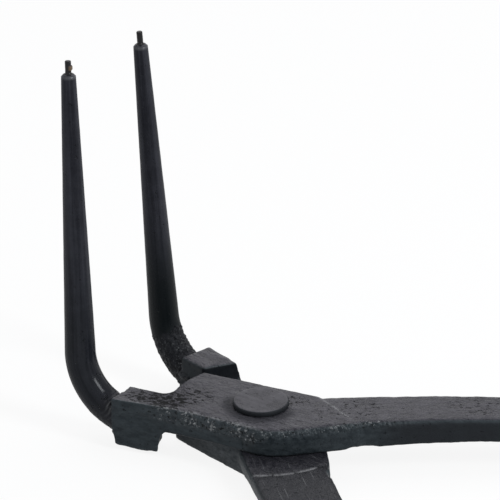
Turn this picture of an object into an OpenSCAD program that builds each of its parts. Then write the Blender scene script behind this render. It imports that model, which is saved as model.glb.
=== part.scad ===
// Heavy circlip pliers for internal rings: two forged levers crossing at a riveted lap joint,
// each with a round tapered prong, bent upward, that ends in a small tip pin.
// The pivot axis is Z, the lower lever's flat underside lies on z = 0, the handles run toward +X.
// A lever is drawn with the pivot at [0, 0], its lap face on z = 0, its plate above, its jaw at -X.

/* [Lap joint] */
// Thickness of each lever's plate at the pivot
plate_t = 8.2; // [7.6:0.1:9]
// Play between the two lap faces, and between the upper plate and the rivet head
lap_gap = 0.05; // [0.03:0.01:0.1]
// Angle from the middle plane to each lever, as the pliers lie
half_open = 11.57; // [9:0.01:13]
// Radius of the plate's round end, which faces the other jaw's shoulder
plate_r = 27.2; // [26.5:0.1:27.4]
// Distance from the pivot to the plate's straight outer edge
far_y = 12.1; // [11:0.1:12.6]
// Radius of the machined lap face
lap_r = 28.3; // [28:0.1:28.6]
// Height of the machined lap face above the handle's inner side
lap_h = 0.5; // [0.3:0.1:0.8]
// Where the ridge between plate and handle meets the outer edge, along X
ridge_x = 13.2; // [11:0.1:15]
// Rounding of the plate's outer edges
plate_edge_r = 0.5; // [0.3:0.1:0.8]

/* [Jaw arm] */
// Distance from the pivot to the jaw arm's end face
arm_end = 40.4; // [38.5:0.1:43]
// Y of the arm's near edge at its ends
near_y = -15.1; // [-16:0.1:-14.6]
// Y of the arm's inner edge
inner_y = -5.1; // [-5.8:0.1:-4.8]
// How far the near edge is waisted in the middle
waist = 1.5; // [0.8:0.1:2]
// How far the jaw block reaches past the lap plane
jaw_drop = 7.2; // [6.8:0.1:7.6]
// Rounding of the jaw block's long outer edge
block_edge_r = 0.8; // [0.5:0.1:1.6]
// Radius about the pivot at which the hollow shoulder leaves the lap plane
shoulder_root_r = 27.5; // [27.5:0.1:28]
// Radius about the pivot of the shoulder's upright part
shoulder_r = 30.4; // [30:0.1:31.5]
// Height of the shoulder's hollow curve
shoulder_h = 6.4; // [5:0.1:6.5]
// Fillet between the arm's inner edge and the plate's round end
neck_fillet = 3; // [2:0.1:4]

/* [Heel] */
// X of the corner where the near edge turns toward the handle
heel_x = 9.9; // [8:0.1:11]
// Angle through which the near edge turns there
heel_turn = 37; // [35:1:39]
// Radius of that corner
heel_r = 15; // [10:0.5:17]
// X at which the heel's straight edge runs into the handle
heel_end = 31.4; // [30:0.1:33]
// Rounding of the heel's outer edge
heel_edge_r = 2.4; // [1:0.1:2.8]

/* [Handle] */
// Direction of the handle where it leaves the plate
handle_turn = 31.5; // [29:0.5:33]
// Radius of the slight bow next to the joint
bow_1_r = 390; // [300:10:600]
// Length of the slight bow
bow_1_len = 46; // [40:1:60]
// Radius of the stronger bow behind it
bow_2_r = 180; // [150:5:260]
// Length of the stronger bow, to the handle's end
bow_2_len = 106; // [80:1:120]
// Width of the handle's inner side at its root
handle_w = 19; // [17:0.1:20]
// Width of the handle's inner side at its end
handle_end_w = 13; // [11:0.5:16]
// Extra width of the lower handle on its outer side
lower_flare = 4.2; // [0:0.1:5]
// Thickness of the handle at its root
handle_t = 7.2; // [6:0.1:7.3]
// Thickness of the handle at its end
handle_end_t = 5.2; // [4.6:0.1:6.2]
// Lean of the handle's long sides, which makes its outer side narrower, in degrees
handle_draft = 3; // [0:0.5:6]
// Radius of the long edges on the handle's outer side
handle_edge_r = 1.8; // [1:0.1:2.5]
// Radius of the long edges on the handle's inner side
inner_edge_r = 0.7; // [0.4:0.1:1]

/* [Prong] */
// Diameter of the prong at its root
prong_root_d = 10.3; // [9.8:0.1:10.6]
// Diameter of the prong at the end of its bend
prong_d = 9.2; // [8.8:0.1:9.6]
// Diameter of the prong at its end
prong_end_d = 4.3; // [4:0.1:5]
// Height of the left prong's end above its root
prong_top = 103.4; // [90:0.1:110]
// Extra height of the right prong's end above its own, lower root
right_extra = 0.3; // [0:0.1:1.5]
// Radius of the left prong's bend, along its centre line
left_bend_r = 19.3; // [17:0.1:21]
// Rise of the left prong's centre line where it leaves the jaw arm
left_rise = 15.2; // [10:0.1:18]
// Radius of the right prong's bend, along its centre line
right_bend_r = 16.5; // [15:0.1:18]
// Rise of the right prong's centre line where it leaves the jaw arm
right_rise = 8; // [5:0.1:12]
// Outward lean of the straight prong
lean_out = 2.25; // [1:0.05:3]
// Inward lean of the straight prong, toward the other prong
lean_in = 2.73; // [2:0.01:3]
// Chamfer at the prong's end
end_chamfer = 0.6; // [0.3:0.1:0.9]
// Y of the prong's root on the arm's end face
prong_y = -9.8; // [-10.2:0.1:-9.5]
// Radius of the weld bead's section
bead_r = 1.3; // [0.8:0.1:1.6]

/* [Tip pin] */
// Diameter of the tip pin
pin_d = 1.8; // [1.5:0.1:2]
// Length of the pin outside the prong
pin_len = 4; // [3.4:0.1:5]
// Depth of the pin's seat in the prong
pin_seat = 6; // [4:0.5:8]
// Radius of the braze fillet at the pin's foot
pin_fillet = 0.6; // [0.4:0.1:0.8]
// Chamfer at the pin's tip
pin_chamfer = 0.2; // [0.1:0.05:0.3]

/* [Rivet] */
// Diameter of the rivet's shank
shank_d = 10; // [9:0.1:11]
// Radial play of the upper lever on the shank
bore_play = 0.05; // [0.03:0.01:0.09]
// Diameter of the flat head
head_d = 16.5; // [14:0.1:18]
// Height of the flat head
head_h = 1.6; // [1.2:0.1:2.4]
// Rounding of the head's upper edge
head_edge_r = 0.6; // [0.3:0.1:0.9]
// Diameter of the shank's spread end in the lower lever
spread_d = 14; // [12.5:0.1:15]
// Depth of the spread end
spread_h = 2; // [1.5:0.1:2.5]

/* [Hidden] */
$fn = 64;

forged = "#2b2c30";
turned = "#232428";
bright = "#4a4540";

// Room by which cutters and joined solids run past each other
over = 1;
far_out = 100;

// Lever heights
lower_lap_z = plate_t;
upper_lap_z = plate_t + lap_gap;
head_z = upper_lap_z + plate_t + lap_gap;
arm_mid_z = (plate_t - jaw_drop) / 2;

// Near edge: the waist's circle, and the heel corner's tangent length
heel_tangent = heel_r * tan(heel_turn / 2);
waist_from = [-arm_end, near_y];
waist_to = [heel_x - heel_tangent, near_y];
waist_half = (waist_to.x - waist_from.x) / 2;
waist_r = (waist_half * waist_half + waist * waist) / (2 * waist);
waist_c = [waist_from.x + waist_half, near_y + waist - waist_r];
waist_a = asin(waist_half / waist_r);
heel_c = [waist_to.x, near_y + heel_r];
ridge_near = [heel_end, near_y + (heel_end - heel_x) * tan(heel_turn)];
ridge_far = [ridge_x, far_y];

// Neck fillet, tangent to the arm's inner edge and to the plate's round end
neck_c_y = inner_y + neck_fillet;
neck_c = [-sqrt(pow(plate_r + neck_fillet, 2) - neck_c_y * neck_c_y), neck_c_y];
neck_a = atan2(-neck_c.y, -neck_c.x);
plate_far_a = 180 - asin(far_y / plate_r);

// Point from which the plate's whole outline can be seen, and the block's edge inside the shoulder
plate_mid = [-19, -8];
block_x = -20;
block_mid = [-30, 10];
round_steps = 4;
small_steps = 8;

// Handle: centre line of two tangent bows, with its start buried in the plate
handle_from = [14, 2.6];
handle_buried = -6;
handle_len = bow_1_len + bow_2_len;
handle_step = 0.1;
handle_top = lap_h + handle_step + handle_t;
bow_1_turn = bow_1_len / bow_1_r * 180 / PI;
flare_len = 120;
flare_lean = 0.75;
end_round_share = 0.42;
end_round = handle_end_w * end_round_share;
end_blunt = 0.2;
handle_steps = 26;

// Prongs: curve from the arm's end face, drawn with X outward and Z up
final_rise = 90 - lean_out;
buried_rise = 24;
prong_sides = 36;
bend_steps = 14;
left_shape = [left_bend_r, left_rise, prong_top];
right_shape = [right_bend_r, right_rise, prong_top + right_extra];

// Points of an arc about c with radius r, from angle a to angle b
function arc(c, r, a, b, n = 16) =
    [for (i = [0 : n]) c + r * [cos(a + (b - a) * i / n), sin(a + (b - a) * i / n)]];

// A list without its first entry
function rest(list) = [for (i = [1 : len(list) - 1]) list[i]];

// Outlines are lists of [x, y, edge radius]
function rounded(points, r) = [for (p = points) [p.x, p.y, r]];
function plan(outline) = [for (p = outline) [p.x, p.y]];

// Direction into a counter-clockwise outline at its point i
function along(from, to) = [to.x - from.x, to.y - from.y] / norm([to.x - from.x, to.y - from.y]);
function inward(outline, i) =
    let (n = len(outline),
         p = outline[i],
         both = along(outline[(i + n - 1) % n], p) + along(p, outline[(i + 1) % n]))
    [-both.y, both.x] / norm(both);

// Rings of an extruded outline from z = low, with its edge rounded off below z = high
function extruded(outline, low, high) = concat(
    [[for (p = outline) [p.x, p.y, low]]],
    [for (k = [0 : round_steps])
        let (a = 90 * k / round_steps)
        [for (i = [0 : len(outline) - 1])
            let (p = outline[i], w = inward(outline, i) * p.z * (1 - cos(a)))
            [p.x + w.x, p.y + w.y, high - p.z * (1 - sin(a))]]]);

// Edge radius along the near edge, small at the jaw and growing toward the heel
function waist_edge(x) =
    plate_edge_r + (heel_edge_r - plate_edge_r) * (x - waist_from.x) / (waist_to.x - waist_from.x);

waist_line = arc(waist_c, waist_r, 90 + waist_a, 90 - waist_a);
neck_line = arc(neck_c, neck_fillet, neck_a, -90);
plate_outline = concat(
    [for (p = waist_line) [p.x, p.y, waist_edge(p.x)]],
    rounded(rest(arc(heel_c, heel_r, -90, heel_turn - 90)), heel_edge_r),
    rounded([ridge_near], heel_edge_r),
    rounded([ridge_far], plate_edge_r),
    rounded(arc([0, 0], plate_r, plate_far_a, 180 + neck_a), plate_edge_r),
    rounded(rest(neck_line), plate_edge_r),
    rounded([[-arm_end, inner_y]], plate_edge_r));

// Outline of the jaw block, drawn turned over
block_outline = concat(
    rounded([[-arm_end, -inner_y], [block_x, -inner_y]], plate_edge_r),
    [for (i = [len(waist_line) - 1 : -1 : 0])
        if (waist_line[i].x < block_x) [waist_line[i].x, -waist_line[i].y, block_edge_r]]);

// Point on a bow that starts at p with heading a, once its heading is b
function bow(p, a, r, b) = p + r * [sin(a) - sin(b), cos(b) - cos(a)];
bow_1_end = bow(handle_from, handle_turn, bow_1_r, handle_turn - bow_1_turn);

// Heading and place of the handle's centre line at the length s
function heading(s) = s < bow_1_len
    ? handle_turn - s / bow_1_r * 180 / PI
    : handle_turn - bow_1_turn - (s - bow_1_len) / bow_2_r * 180 / PI;
function centre(s) = s < bow_1_len
    ? bow(handle_from, handle_turn, bow_1_r, heading(s))
    : bow(bow_1_end, handle_turn - bow_1_turn, bow_2_r, heading(s));

// Share of the full width at the length s: whole, then an ellipse at the rounded end
function end_share(s) =
    let (e = max(0, (s - (handle_len - end_round)) / end_round))
    max(end_blunt, sqrt(max(0, 1 - e * e)));

// Half widths of the inner side toward near and far, and the thickness, at the length s
function run(s) = max(0, s) / handle_len;
function near_w(s) = end_share(s) * (handle_w + (handle_end_w - handle_w) * run(s)) / 2;
function ease(x) = (1 + cos(180 * min(1, max(0, x)))) / 2;
function far_w(s, flare) = near_w(s) + flare * ease(s / flare_len);
function thick(s) = handle_end_t + (handle_t - handle_end_t) * ease(run(s));

// Lengths at which the handle's sections stand, close together at the rounded end
lengths = concat(
    [for (i = [0 : handle_steps - 1])
        handle_buried + (handle_len - end_round - handle_buried) * i / handle_steps],
    [for (i = [0 : small_steps]) handle_len - end_round + end_round * sin(90 * i / small_steps)]);

// Plan point beside the centre line, w to the far side
function beside(s, w) = centre(s) + w * [-sin(heading(s)), cos(heading(s))];

// Distance of a corner's middle from the inner side's edge, at the height h, with the radius r
function inset(draft, r, h) = (r + h * sin(draft)) / cos(draft);

// One rounded section of the handle, standing across its centre line
function section(s, flare) =
    let (share = end_share(s),
         draft = handle_draft * share,
         outer_r = handle_edge_r * share,
         inner_r = inner_edge_r * share,
         outer = inset(draft, outer_r, thick(s) - outer_r),
         inner = inset(draft, inner_r, inner_r),
         outer_z = handle_top - outer_r,
         inner_z = handle_top - thick(s) + inner_r,
         near = near_w(s),
         corners = [[far_w(s, flare * flare_lean) - outer, outer_z, outer_r, draft, 90],
                    [outer - near, outer_z, outer_r, 90, 180 - draft],
                    [inner - near, inner_z, inner_r, 180 - draft, 270],
                    [far_w(s, flare) - inner, inner_z, inner_r, 270, 360 + draft]])
    [for (c = corners) for (p = arc([c[0], c[1]], c[2], c[3], c[4], round_steps))
        let (place = beside(s, p.x))
        [place.x, place.y, p.y]];

// Middle of a prong's bend, its centre line there, and the length of its straight taper
function bend_c(shape) = shape[0] * [-sin(shape[1]), cos(shape[1])];
function bend_at(shape, rise) = bend_c(shape) + shape[0] * [sin(rise), -cos(rise)];
function taper_len(shape) = (shape[2] - bend_at(shape, final_rise).y) / cos(lean_out);
function taper_at(shape, len) =
    bend_at(shape, final_rise) + len * [cos(final_rise), sin(final_rise)];

// Diameter of a prong in its bend, thickest at the root
function bend_d(shape, rise) =
    prong_root_d + (prong_d - prong_root_d) * max(0, rise - shape[1]) / (final_rise - shape[1]);

// Ring of a prong about the centre p, across a centre line that rises by the given angle
function ring(p, rise, d) =
    [for (i = [0 : prong_sides - 1])
        let (a = 360 * i / prong_sides,
             up = d / 2 * sin(a))
        [p.x - up * sin(rise), d / 2 * cos(a), p.y + up * cos(rise)]];

// Rings of the whole prong, from behind the arm's end face to the chamfered end
function prong_rings(shape) =
    let (from = shape[1] - buried_rise,
         bend = [for (i = [0 : bend_steps]) from + (final_rise - from) * i / bend_steps],
         end = taper_len(shape))
    concat([for (rise = bend) ring(bend_at(shape, rise), rise, bend_d(shape, rise))],
           [ring(taper_at(shape, end - end_chamfer), final_rise, prong_end_d),
            ring(taper_at(shape, end), final_rise, prong_end_d - 2 * end_chamfer)]);

// Closed skin over a row of rings, with a point in the middle of each end
function mid(ring) = (ring[0] + ring[len(ring) / 2]) / 2;
module skin(rings, from, to) {
    m = len(rings[0]);
    last = len(rings) - 1;
    total = len(rings) * m;
    sides = [for (i = [0 : last - 1]) for (j = [0 : m - 1])
        let (a = i * m + j, b = i * m + (j + 1) % m)
        each [[a, b + m, b], [a, a + m, b + m]]];
    start = [for (j = [0 : m - 1]) [j, (j + 1) % m, total]];
    end = [for (j = [0 : m - 1]) [last * m + (j + 1) % m, last * m + j, total + 1]];
    polyhedron(concat([for (ring = rings) each ring], [from, to]), concat(sides, start, end));
}

module handle(flare) {
    rings = [for (s = lengths) section(s, flare)];
    skin(rings, mid(rings[0]), mid(rings[len(rings) - 1]));
}

// Jaw arm and plate, up to the ridge where the handle starts
module plate() {
    skin(extruded(plate_outline, lap_h, plate_t),
         [plate_mid.x, plate_mid.y, lap_h], [plate_mid.x, plate_mid.y, plate_t]);
}

// Plan of the handle's flat inner side next to the plate
module handle_plan(flare) {
    shown = [for (s = lengths) if (s < bow_1_len) s];
    near = [for (s = shown) beside(s, inner_edge_r - near_w(s))];
    far = [for (i = [len(shown) - 1 : -1 : 0]) beside(shown[i], far_w(shown[i], flare) - inner_edge_r)];
    polygon(concat(near, far));
}

// Hollow shoulder that clears the other lever's plate
module shoulder() {
    hollow = [for (a = [0 : 90 / bend_steps : 90])
        [shoulder_root_r + (shoulder_r - shoulder_root_r) * sin(a), -shoulder_h * (1 - cos(a))]];
    rotate_extrude()
        polygon(concat([[0, 0]], hollow, [[shoulder_r, -jaw_drop - over], [0, -jaw_drop - over]]));
}

// Jaw block past the lap plane
module jaw_block() {
    difference() {
        rotate([180, 0, 0])
            skin(extruded(block_outline, -over, jaw_drop),
                 [block_mid.x, block_mid.y, -over], [block_mid.x, block_mid.y, jaw_drop]);
        shoulder();
    }
}

// One forged lever, without its bore
module forging(flare) {
    plate();
    linear_extrude(lap_h + over)
        intersection() {
            union() {
                polygon(plan(plate_outline));
                handle_plan(flare);
            }
            union() {
                circle(lap_r);
                translate([-arm_end, near_y])
                    square([arm_end, inner_y - near_y]);
            }
        }
    jaw_block();
    handle(flare);
}

// Places of the two levers, and of what stands on their jaw arms
module on_upper() {
    translate([0, 0, upper_lap_z])
        rotate([0, 0, half_open])
            children();
}

module on_lower() {
    translate([0, 0, lower_lap_z])
        rotate([0, 0, -half_open])
            rotate([180, 0, 0])
                children();
}

module at_left_root() {
    on_upper()
        translate([-arm_end, prong_y, arm_mid_z])
            rotate([-lean_in, 0, 0])
                rotate([0, 0, 180])
                    children();
}

module at_right_root() {
    translate([0, 0, lower_lap_z])
        rotate([0, 0, -half_open])
            translate([-arm_end, -prong_y, -arm_mid_z])
                rotate([lean_in, 0, 0])
                    rotate([0, 0, 180])
                        children();
}

// Place of the prong's end, with Z along the straight taper
module at_end(shape) {
    end = taper_at(shape, taper_len(shape));
    translate([end.x, 0, end.y])
        rotate([0, lean_out, 0])
            children();
}

// Bent and tapered rod, running on into the arm behind its end face
module rod(shape) {
    rings = prong_rings(shape);
    skin(rings, mid(rings[0]), mid(rings[len(rings) - 1]));
}

// Everything behind the arm's end face
module behind_face() {
    translate([-far_out, -far_out / 2, -far_out / 2])
        cube(far_out);
}

module prong(shape) {
    difference() {
        rod(shape);
        behind_face();
        at_end(shape)
            translate([0, 0, -pin_seat])
                cylinder(h = pin_seat + over, d = pin_d);
    }
}

// Weld run round the prong's root, against the arm's end face
module weld_bead(shape) {
    difference() {
        rotate([0, 90, 0])
            rotate_extrude()
                translate([prong_root_d / 2, 0])
                    circle(bead_r);
        behind_face();
        rod(shape);
    }
}

// Seated pin with a concave foot
module tip_pin(shape) {
    r = pin_d / 2;
    at_end(shape)
        rotate_extrude()
            polygon(concat(
                [[0, -pin_seat], [r, -pin_seat], [r, 0]],
                arc([r + pin_fillet, pin_fillet], pin_fillet, 270, 180, small_steps),
                [[r, pin_len - pin_chamfer], [r - pin_chamfer, pin_len], [0, pin_len]]));
}

module upper_lever() {
    color(forged)
        on_upper()
            difference() {
                forging(0);
                translate([0, 0, -over])
                    cylinder(h = plate_t + 2 * over, d = shank_d + 2 * bore_play);
            }
}

module lower_lever() {
    color(forged)
        difference() {
            on_lower() forging(lower_flare);
            translate([0, 0, -over])
                cylinder(h = plate_t + 2 * over, d = shank_d);
            cylinder(h = spread_h, d1 = spread_d, d2 = shank_d);
        }
}

module left_prong() {
    color(turned)
        at_left_root() prong(left_shape);
}

module right_prong() {
    color(turned)
        at_right_root() prong(right_shape);
}

module left_weld_bead() {
    color(forged)
        at_left_root() weld_bead(left_shape);
}

module right_weld_bead() {
    color(forged)
        at_right_root() weld_bead(right_shape);
}

module left_tip_pin() {
    color(bright)
        at_left_root() tip_pin(left_shape);
}

module right_tip_pin() {
    color(bright)
        at_right_root() tip_pin(right_shape);
}

// Flat-headed rivet, its lower end spread flush into the lower lever
module pivot_rivet() {
    color(turned)
        rotate_extrude()
            polygon(concat(
                [[0, 0], [spread_d / 2, 0], [shank_d / 2, spread_h], [shank_d / 2, head_z], [head_d / 2, head_z]],
                arc([head_d / 2 - head_edge_r, head_z + head_h - head_edge_r], head_edge_r, 0, 90, small_steps),
                [[0, head_z + head_h]]));
}

upper_lever();
lower_lever();
left_prong();
right_prong();
left_weld_bead();
right_weld_bead();
left_tip_pin();
right_tip_pin();
pivot_rivet();
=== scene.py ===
import bpy
import math
import numpy as np
from mathutils import Matrix, Vector


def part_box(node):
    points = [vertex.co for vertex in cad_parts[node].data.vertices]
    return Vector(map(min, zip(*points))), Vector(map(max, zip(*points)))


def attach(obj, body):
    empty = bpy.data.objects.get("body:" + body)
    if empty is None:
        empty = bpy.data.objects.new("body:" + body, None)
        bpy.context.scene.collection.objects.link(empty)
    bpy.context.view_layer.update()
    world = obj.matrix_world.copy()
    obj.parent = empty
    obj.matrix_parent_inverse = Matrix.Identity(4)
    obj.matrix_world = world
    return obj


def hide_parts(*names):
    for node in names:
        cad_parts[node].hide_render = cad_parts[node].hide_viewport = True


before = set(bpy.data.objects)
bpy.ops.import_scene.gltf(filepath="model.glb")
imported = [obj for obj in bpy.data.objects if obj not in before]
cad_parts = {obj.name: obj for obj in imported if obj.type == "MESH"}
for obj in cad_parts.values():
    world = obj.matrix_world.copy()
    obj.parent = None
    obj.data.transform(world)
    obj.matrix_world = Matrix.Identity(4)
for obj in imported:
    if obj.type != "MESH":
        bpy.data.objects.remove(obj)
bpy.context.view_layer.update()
scene = bpy.context.scene
mm = 0.001
joinedBelow = 0.001 * mm  # corners nearer than this become one
faintest = 0.01  # smaller weights are left out of a vertex group
print("frame loaded,", len(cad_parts), "nodes")


def makeActive(piece):
    bpy.ops.object.select_all(action="DESELECT")
    piece.select_set(True)
    bpy.context.view_layer.objects.active = piece


def editAll(piece):
    makeActive(piece)
    bpy.ops.object.mode_set(mode="EDIT")
    bpy.ops.mesh.select_all(action="SELECT")


def backToObject():
    bpy.ops.object.mode_set(mode="OBJECT")


def applyModifier(piece, kind, **settings):
    makeActive(piece)
    modifier = piece.modifiers.new(kind.lower(), kind)
    for name, value in settings.items():
        setattr(modifier, name, value)
    bpy.ops.object.modifier_apply(modifier=modifier.name)


def copyNode(node, name):
    piece = bpy.data.objects.new(name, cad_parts[node].data.copy())
    scene.collection.objects.link(piece)
    piece.data.materials.clear()
    editAll(piece)
    bpy.ops.mesh.remove_doubles(threshold=joinedBelow)  # the node is loose triangles
    backToObject()
    return piece


def perPoint(piece, name):
    flat = np.empty(len(piece.data.vertices) * 3)
    piece.data.vertices.foreach_get(name, flat)
    return flat.reshape(-1, 3)


def places(piece):
    return perPoint(piece, "co")


def facing(piece):
    return perPoint(piece, "normal")


def movePlaces(piece, values):
    piece.data.vertices.foreach_set("co", values.ravel())
    piece.data.update()


def pushOut(piece, distance):
    movePlaces(piece, places(piece) + facing(piece) * distance[:, None])


def paintGroup(piece, name, weights):
    group = piece.vertex_groups.new(name=name)
    for index in np.nonzero(weights > faintest)[0]:
        group.add([int(index)], float(min(1.0, weights[index])), "REPLACE")


def paint(piece, **amounts):
    for name, values in amounts.items():
        attribute = piece.data.attributes.new(name, "FLOAT", "POINT")
        attribute.data.foreach_set("value", np.clip(values, 0, 1).astype(np.float32))


def takeAttribute(piece, name):  # its values, and the attribute itself goes
    attribute = piece.data.attributes[name]
    values = np.empty(len(piece.data.vertices), np.float32)
    attribute.data.foreach_get("value", values)
    piece.data.attributes.remove(attribute)
    return values


def paintFlow(piece, lengthwise, across, upward):
    attribute = piece.data.attributes.new("flow", "FLOAT_VECTOR", "POINT")
    vectors = np.stack([lengthwise, across, upward], 1).astype(np.float32)
    attribute.data.foreach_set("vector", vectors.ravel())


def fade(values, start, full):
    share = np.clip((values - start) / (full - start), 0, 1)
    return share * share * (3 - 2 * share)


def hump(values, middle, width):
    return np.exp(-((values - middle) / width) ** 2)


def refine(piece, chosen):  # splits the faces whose corners are all chosen
    makeActive(piece)
    bpy.ops.object.mode_set(mode="EDIT")
    bpy.ops.mesh.select_mode(type="FACE")
    bpy.ops.mesh.select_all(action="DESELECT")
    backToObject()
    picked = [all(chosen[corner] for corner in face.vertices) for face in piece.data.polygons]
    piece.data.polygons.foreach_set("select", picked)
    bpy.ops.object.mode_set(mode="EDIT")
    bpy.ops.mesh.subdivide(number_cuts=1)
    bpy.ops.mesh.select_mode(type="VERT")
    backToObject()


def smooth(piece, rounds, group=""):
    applyModifier(piece, "SMOOTH", factor=0.5, iterations=rounds, vertex_group=group)


def roundOff(piece, shape):  # a fine even mesh, smoothed; gives how far each point sank
    applyModifier(piece, "REMESH", mode="VOXEL", voxel_size=shape["voxel"])
    before = places(piece)
    smooth(piece, shape["rounding"])
    return -((places(piece) - before) * facing(piece)).sum(1)


def roughen(piece, cloud, form, group=""):  # cloudy lumps, their size and height
    size, height = form
    texture = bpy.data.textures.get(cloud) or bpy.data.textures.new(cloud, "CLOUDS")
    texture.noise_scale = size
    texture.noise_depth = 1
    applyModifier(piece, "DISPLACE", texture=texture, strength=height, mid_level=0.5,
                  texture_coords="LOCAL", vertex_group=group)


def raiseGroup(piece, group, height):
    applyModifier(piece, "DISPLACE", strength=height, mid_level=0.0, vertex_group=group)


factorSocket, firstSocket, secondSocket, mixedSocket = 0, 6, 7, 2  # a mix node's, for colours


def put(tree, kind, inputs=None, **settings):
    node = tree.nodes.new(kind)
    for name, value in settings.items():
        setattr(node, name, value)
    for name, value in (inputs or {}).items():
        if isinstance(value, bpy.types.NodeSocket):
            tree.links.new(value, node.inputs[name])
        else:
            node.inputs[name].default_value = value
    return node


def calc(tree, operation, first, second):
    return put(tree, "ShaderNodeMath", {0: first, 1: second}, operation=operation).outputs[0]


def plus(tree, first, second):
    return calc(tree, "ADD", first, second)


def minus(tree, first, second):
    return calc(tree, "SUBTRACT", first, second)


def times(tree, first, second):
    return calc(tree, "MULTIPLY", first, second)


def blended(tree, first, second, share):
    return plus(tree, times(tree, first, share), times(tree, second, 1 - share))


def evened(tree, height, share):  # unevenness about its middle, times a share
    return times(tree, minus(tree, height, 0.5), share)


def remap(tree, value, low, high, toLow=0.0, toHigh=1.0):
    inputs = {"Value": value, "From Min": low, "From Max": high, "To Min": toLow, "To Max": toHigh}
    return put(tree, "ShaderNodeMapRange", inputs, interpolation_type="SMOOTHSTEP").outputs["Result"]


def mixColour(tree, factor, first, second):
    inputs = {factorSocket: factor, firstSocket: first, secondSocket: second}
    return put(tree, "ShaderNodeMix", inputs, data_type="RGBA").outputs[mixedSocket]


def stretched(tree, vector, size):  # a pattern drawn out to this size along, across and up
    inputs = {"Vector": vector, "Scale": size}
    return put(tree, "ShaderNodeMapping", inputs, vector_type="TEXTURE").outputs["Vector"]


def noise(tree, vector, scale, detail=2.0, roughness=0.5):
    inputs = {"Vector": vector, "Scale": scale, "Detail": detail, "Roughness": roughness}
    return put(tree, "ShaderNodeTexNoise", inputs).outputs["Fac"]


def newGroup(name, inputs, outputs):  # all sockets but Vector are numbers
    group = bpy.data.node_groups.new(name, "ShaderNodeTree")
    for sockets, side in ((inputs, "INPUT"), (outputs, "OUTPUT")):
        for socket in sockets:
            kind = "NodeSocketVector" if socket == "Vector" else "NodeSocketFloat"
            group.interface.new_socket(socket, in_out=side, socket_type=kind)
    return group, group.nodes.new("NodeGroupInput").outputs, group.nodes.new("NodeGroupOutput").inputs


def useGroup(tree, group, inputs):
    return put(tree, "ShaderNodeGroup", inputs, node_tree=group).outputs


# effects that several materials use; a noise's pair of numbers is its detail and roughness
toneRange = (0.36, 0.64)


def blendedNoise(group, broad, fine, share, result):
    height = blended(group, broad, fine, share)
    group.links.new(height, result["Height"])
    group.links.new(remap(group, height, *toneRange), result["Tone"])


pitLook = {"blots": (3.0, 0.6), "lift": 0.22, "rim": (0.63, 0.79)}
pitMarks, given, result = newGroup("scalePits", ["Vector", "Pits per metre", "Share"], ["Pits"])
blots = noise(pitMarks, given["Vector"], given["Pits per metre"], *pitLook["blots"])
level = plus(pitMarks, blots, times(pitMarks, given["Share"], pitLook["lift"]))
pitMarks.links.new(remap(pitMarks, level, *pitLook["rim"]), result["Pits"])

grainLook = {"broad": (3.0, 0.55), "fine": (3.0, 0.6), "broadShare": 0.65}
paintGrain, given, result = newGroup("paintGrain", ["Vector", "Broad", "Fine"], ["Height", "Tone"])
broad = noise(paintGrain, given["Vector"], given["Broad"], *grainLook["broad"])
fine = noise(paintGrain, given["Vector"], given["Fine"], *grainLook["fine"])
blendedNoise(paintGrain, broad, fine, grainLook["broadShare"], result)

streakLook = {"broadScale": 1.0, "fineScale": 3.3, "broadShare": 0.7}
drawnStreaks, given, result = newGroup("drawnStreaks", ["Vector"], ["Height", "Tone"])
broad = noise(drawnStreaks, given["Vector"], streakLook["broadScale"])
fine = noise(drawnStreaks, given["Vector"], streakLook["fineScale"])
blendedNoise(drawnStreaks, broad, fine, streakLook["broadShare"], result)

scratchLook = {"scale": 1.0, "level": 0.78, "rim": (0.0, 0.1)}
scratchMarks, given, result = newGroup("lengthwiseScratches", ["Vector", "Share"], ["Scratches"])
lines = noise(scratchMarks, given["Vector"], scratchLook["scale"])
level = minus(scratchMarks, lines, minus(scratchMarks, scratchLook["level"], given["Share"]))
scratchMarks.links.new(remap(scratchMarks, level, *scratchLook["rim"]), result["Scratches"])

wearLook = {"flecks": (3.0, 0.65), "patchScale": 0.16, "smoothDrop": 0.5, "patchLift": 0.5,
            "rim": (0.5, 0.72)}
wornEdges, given, result = newGroup("wornEdges", ["Vector", "Edge", "Flecks per metre"], ["Wear"])
flecks = noise(wornEdges, given["Vector"], given["Flecks per metre"], *wearLook["flecks"])
patchScale = times(wornEdges, given["Flecks per metre"], wearLook["patchScale"])
patches = noise(wornEdges, given["Vector"], patchScale)
away = minus(wornEdges, 1.0, given["Edge"])
level = minus(wornEdges, flecks, times(wornEdges, away, wearLook["smoothDrop"]))
level = plus(wornEdges, level, evened(wornEdges, patches, wearLook["patchLift"]))
wornEdges.links.new(remap(wornEdges, level, *wearLook["rim"]), result["Wear"])


def emptyTree(owner):
    owner.use_nodes = True
    owner.node_tree.nodes.clear()
    return owner.node_tree


def startMaterial(name, finish):
    material = bpy.data.materials.new(name)
    tree = emptyTree(material)
    sheen = {"Specular IOR Level": finish["specular"], "Specular Tint": finish["tint"]}
    shader = put(tree, "ShaderNodeBsdfPrincipled", sheen)
    output = put(tree, "ShaderNodeOutputMaterial", {"Surface": shader.outputs["BSDF"]})
    output.is_active_output = True
    place = put(tree, "ShaderNodeTexCoord").outputs["Object"]
    return material, tree, shader, place


def endMaterial(tree, shader, colour, rough, skin):
    for socket, value in (("Base Color", colour), ("Roughness", rough), ("Normal", skin)):
        tree.links.new(value, shader.inputs[socket])


def painted(tree, name, output="Fac"):
    return put(tree, "ShaderNodeAttribute", attribute_name=name).outputs[output]


def raised(tree, height, distance, under=None, sunk=False):
    inputs = {"Strength": 1.0, "Distance": distance, "Height": height}
    if under is not None:
        inputs["Normal"] = under
    return put(tree, "ShaderNodeBump", inputs, invert=sunk).outputs["Normal"]


def grainAt(tree, finish, place):
    broad, fine = finish["grain"]
    return useGroup(tree, paintGrain, {"Vector": place, "Broad": broad, "Fine": fine})


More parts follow.
